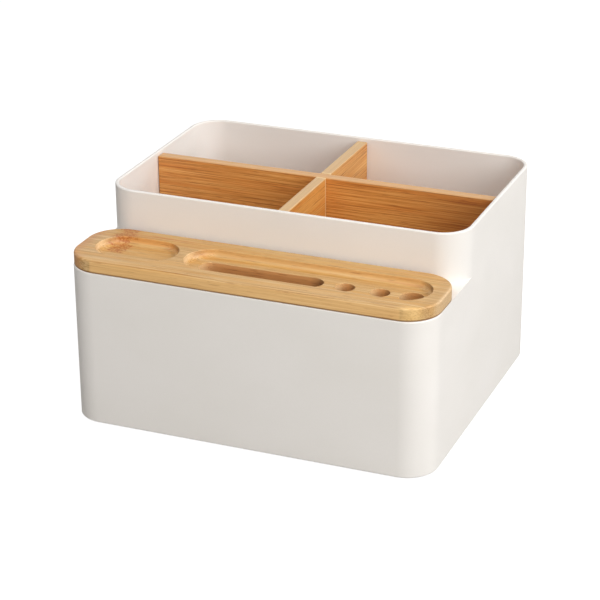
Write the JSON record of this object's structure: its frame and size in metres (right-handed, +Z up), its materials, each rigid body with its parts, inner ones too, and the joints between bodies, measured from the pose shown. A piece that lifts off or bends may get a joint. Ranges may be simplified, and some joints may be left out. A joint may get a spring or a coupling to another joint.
{
  "type": "desk organizer",
  "caption": "Stepped moulded desk organizer with a lift-off bamboo lid over a low front bin and crossed boards parting a taller rear bin.",
  "frame": {"origin": "on the desk, under the middle of the organizer's bounding box", "axes": "+X to the right along the front, +Y from the front to the back, +Z up; -Y is the front with the lid"},
  "size_m": [0.21, 0.185, 0.1193],
  "materials": {
    "moulded_body": "warm white ABS with a fine matte moulded texture",
    "lid_bamboo": "laminated bamboo, sanded and clear-coated satin, grain along its length",
    "divider_bamboo": "laminated bamboo with a warmer, darker clear coat, satin, pale sanded top edges",
    "rubber_pads": "matte"
  },
  "bodies": {
    "body": {"body": "moulded_body", "pad_front_left": "rubber_pads", "pad_front_right": "rubber_pads", "pad_rear_left": "rubber_pads", "pad_rear_right": "rubber_pads"},
    "lid": {"lid": "lid_bamboo"},
    "cross_divider": {"cross_divider": "divider_bamboo"},
    "long_divider": {"long_divider": "divider_bamboo"}
  },
  "joints": [
    {"name": "lid_lift", "type": "slide", "parent": "body", "child": "lid", "axis": [0, 0, 1], "range_m": [0, 0.06]},
    {"name": "cross_lift", "type": "slide", "parent": "body", "child": "cross_divider", "axis": [0, 0, 1], "range_m": [0, 0.13]},
    {"name": "long_lift", "type": "slide", "parent": "cross_divider", "child": "long_divider", "axis": [0, 0, 1], "range_m": [0, 0.13]}
  ]
}
